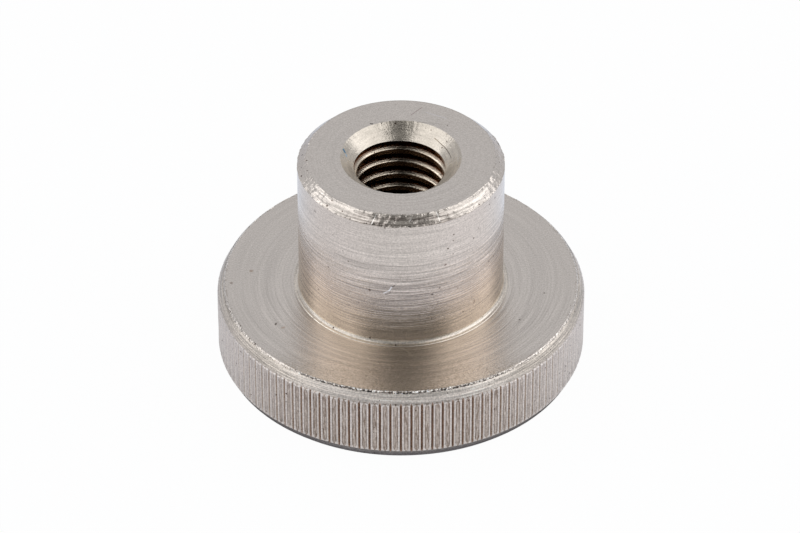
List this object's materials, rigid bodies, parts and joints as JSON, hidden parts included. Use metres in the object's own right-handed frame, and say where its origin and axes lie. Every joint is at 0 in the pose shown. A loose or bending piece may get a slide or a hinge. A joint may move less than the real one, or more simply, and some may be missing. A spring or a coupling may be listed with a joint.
{
  "type": "knurled nut",
  "caption": "Round turned steel nut with a wide straight-knurled head to grip by hand, a plain collar that clamps, and a threaded hole right through, countersunk at both ends.",
  "frame": {"origin": "centre of the head's flat underside, on the thread's axis", "axes": "+Z along the thread's axis, from the knurled head towards the collar's clamping face; X and Y are alike, because the outside is round"},
  "size_m": [0.036, 0.036, 0.023],
  "materials": {
    "turned_steel": "satin stainless steel, as turned, with fine feed lines round the collar and the faces"
  },
  "bodies": {
    "root": {"knurled_nut": "turned_steel"}
  },
  "joints": []
}
